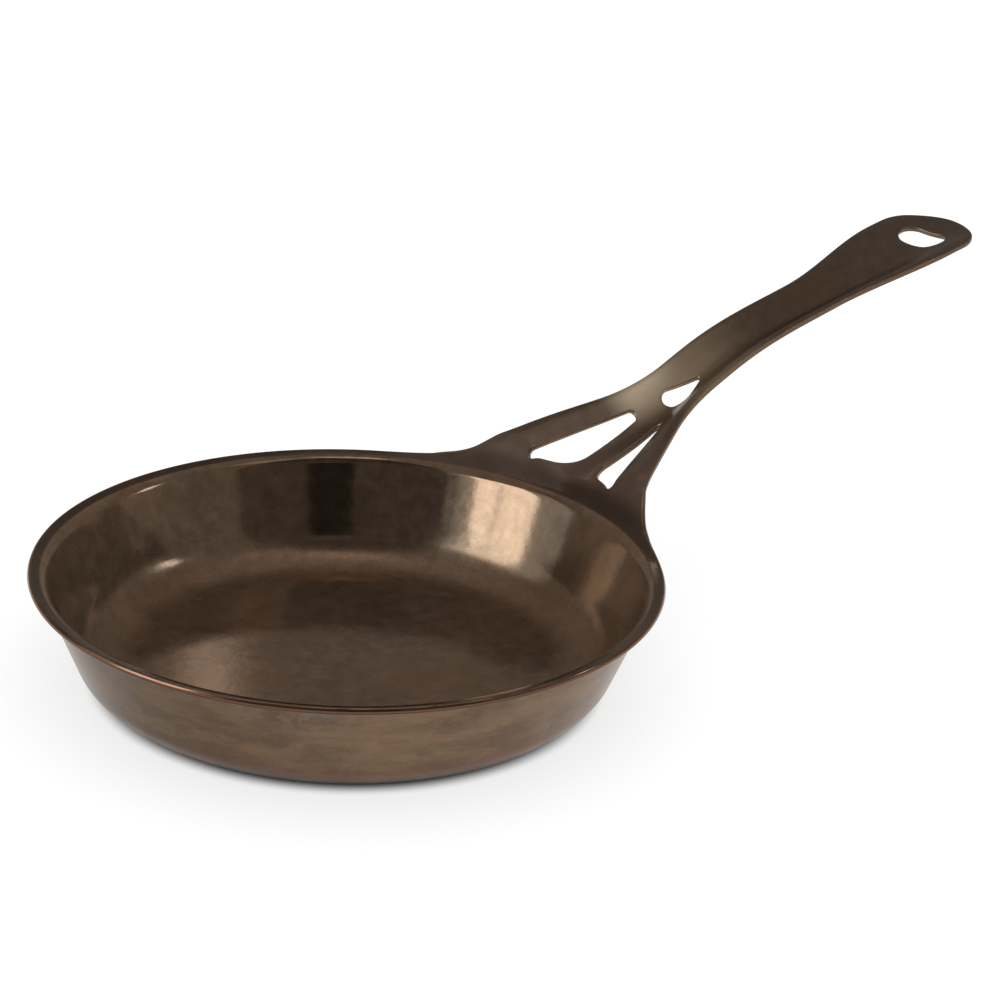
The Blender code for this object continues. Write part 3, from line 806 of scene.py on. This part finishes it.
def card_paper(name, level, tint):
    """Plain paper of a card that only reflections see."""
    finish = Finish(name)
    glow = finish.node("ShaderNodeEmission", None, {"Color": colour(*tint), "Strength": level})
    finish.node("ShaderNodeOutputMaterial", None, {"Surface": glow})
    return finish.material


def photo_axes():
    """The camera's right, up and forward directions in the photograph's own frame."""
    right = np.array([1.0, 0.0, 0.0])
    forward = np.array([0.0, math.cos(CAMERA_PITCH), -math.sin(CAMERA_PITCH)])
    up = np.cross(right, forward)
    rolled_right = right * math.cos(CAMERA_ROLL) + up * math.sin(CAMERA_ROLL)
    rolled_up = up * math.cos(CAMERA_ROLL) - right * math.sin(CAMERA_ROLL)
    return rolled_right, rolled_up, forward


def from_photo(vector):
    """Turn a place or direction given as right, away and up in the photograph into the part's frame."""
    return Matrix.Rotation(-HANDLE_AZIMUTH, 3, "Z") @ Vector(vector)


def add_camera():
    """Camera at the photograph's place and angle."""
    right, up, forward = photo_axes()
    place = -(CAMERA_ASIDE * right + CAMERA_UPWARD * up + CAMERA_DISTANCE * forward)
    axes = [from_photo(axis) for axis in (right, up, -forward)]
    data = bpy.data.cameras.new("camera")
    data.sensor_width = SENSOR_WIDTH
    data.lens = FOCAL_LENGTH
    data.clip_end = VIEW_DEPTH
    camera = bpy.data.objects.new("camera", data)
    camera.matrix_world = Matrix.Translation(from_photo(place)) @ Matrix(axes).transposed().to_4x4()
    bpy.context.scene.collection.objects.link(camera)
    bpy.context.scene.camera = camera


def direction(azimuth, elevation):
    """Unit vector in the photograph's directions: azimuth from away toward the right, then up."""
    azimuth = math.radians(azimuth)
    elevation = math.radians(elevation)
    return Vector((math.sin(azimuth) * math.cos(elevation), math.cos(azimuth) * math.cos(elevation),
                   math.sin(elevation)))


def add_card(name, azimuths, elevations, distance, level, tint):
    """Curved paper card over a patch of the surroundings, as seen from the middle of the bowl, for
    the pan's reflections alone."""
    columns = np.linspace(*azimuths, int((azimuths[1] - azimuths[0]) / CARD_STEP) + 2)
    rows = np.linspace(*elevations, int((elevations[1] - elevations[0]) / CARD_STEP) + 2)
    middle = Vector((0.0, 0.0, RIM_HEIGHT / 2.0))
    corners = [from_photo(middle + direction(a, b) * distance) for b in rows for a in columns]
    wide = len(columns)
    faces = [(i * wide + k, i * wide + k + 1, (i + 1) * wide + k + 1, (i + 1) * wide + k)
             for i in range(len(rows) - 1) for k in range(wide - 1)]
    mesh = bpy.data.meshes.new(name)
    mesh.from_pydata(corners, [], faces)
    mesh.materials.append(card_paper(name, level, tint))
    card = bpy.data.objects.new(name, mesh)
    card.visible_camera = False
    card.visible_diffuse = False
    card.visible_shadow = False
    card.visible_transmission = False
    bpy.context.scene.collection.objects.link(card)


def add_floor():
    """Flat round floor just under the pan."""
    mesh = bpy.data.meshes.new("floor")
    bm = bmesh.new()
    bmesh.ops.create_circle(bm, cap_ends=True, segments=64, radius=STUDIO_FLOOR_RADIUS)
    for vert in bm.verts:
        vert.co.z = -FLOOR_DROP
    bm.to_mesh(mesh)
    bm.free()
    floor = bpy.data.objects.new("floor", mesh)
    floor.data.materials.append(floor_paper())
    bpy.context.scene.collection.objects.link(floor)


def light_world():
    """Plain white surround."""
    world = bpy.data.worlds.new("surround")
    world.use_nodes = True
    background = world.node_tree.nodes["Background"]
    background.inputs["Color"].default_value = colour(*WHITE)
    background.inputs["Strength"].default_value = 1.0
    bpy.context.scene.world = world


bpy.context.scene.view_settings.view_transform = "Standard"
skin = pan_skin()
skin.data.materials.append(seasoned_iron())
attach(skin, "root")
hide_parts("pan_body", "handle")
add_camera()
add_floor()
light_world()
for card in CARDS:
    add_card(*card)
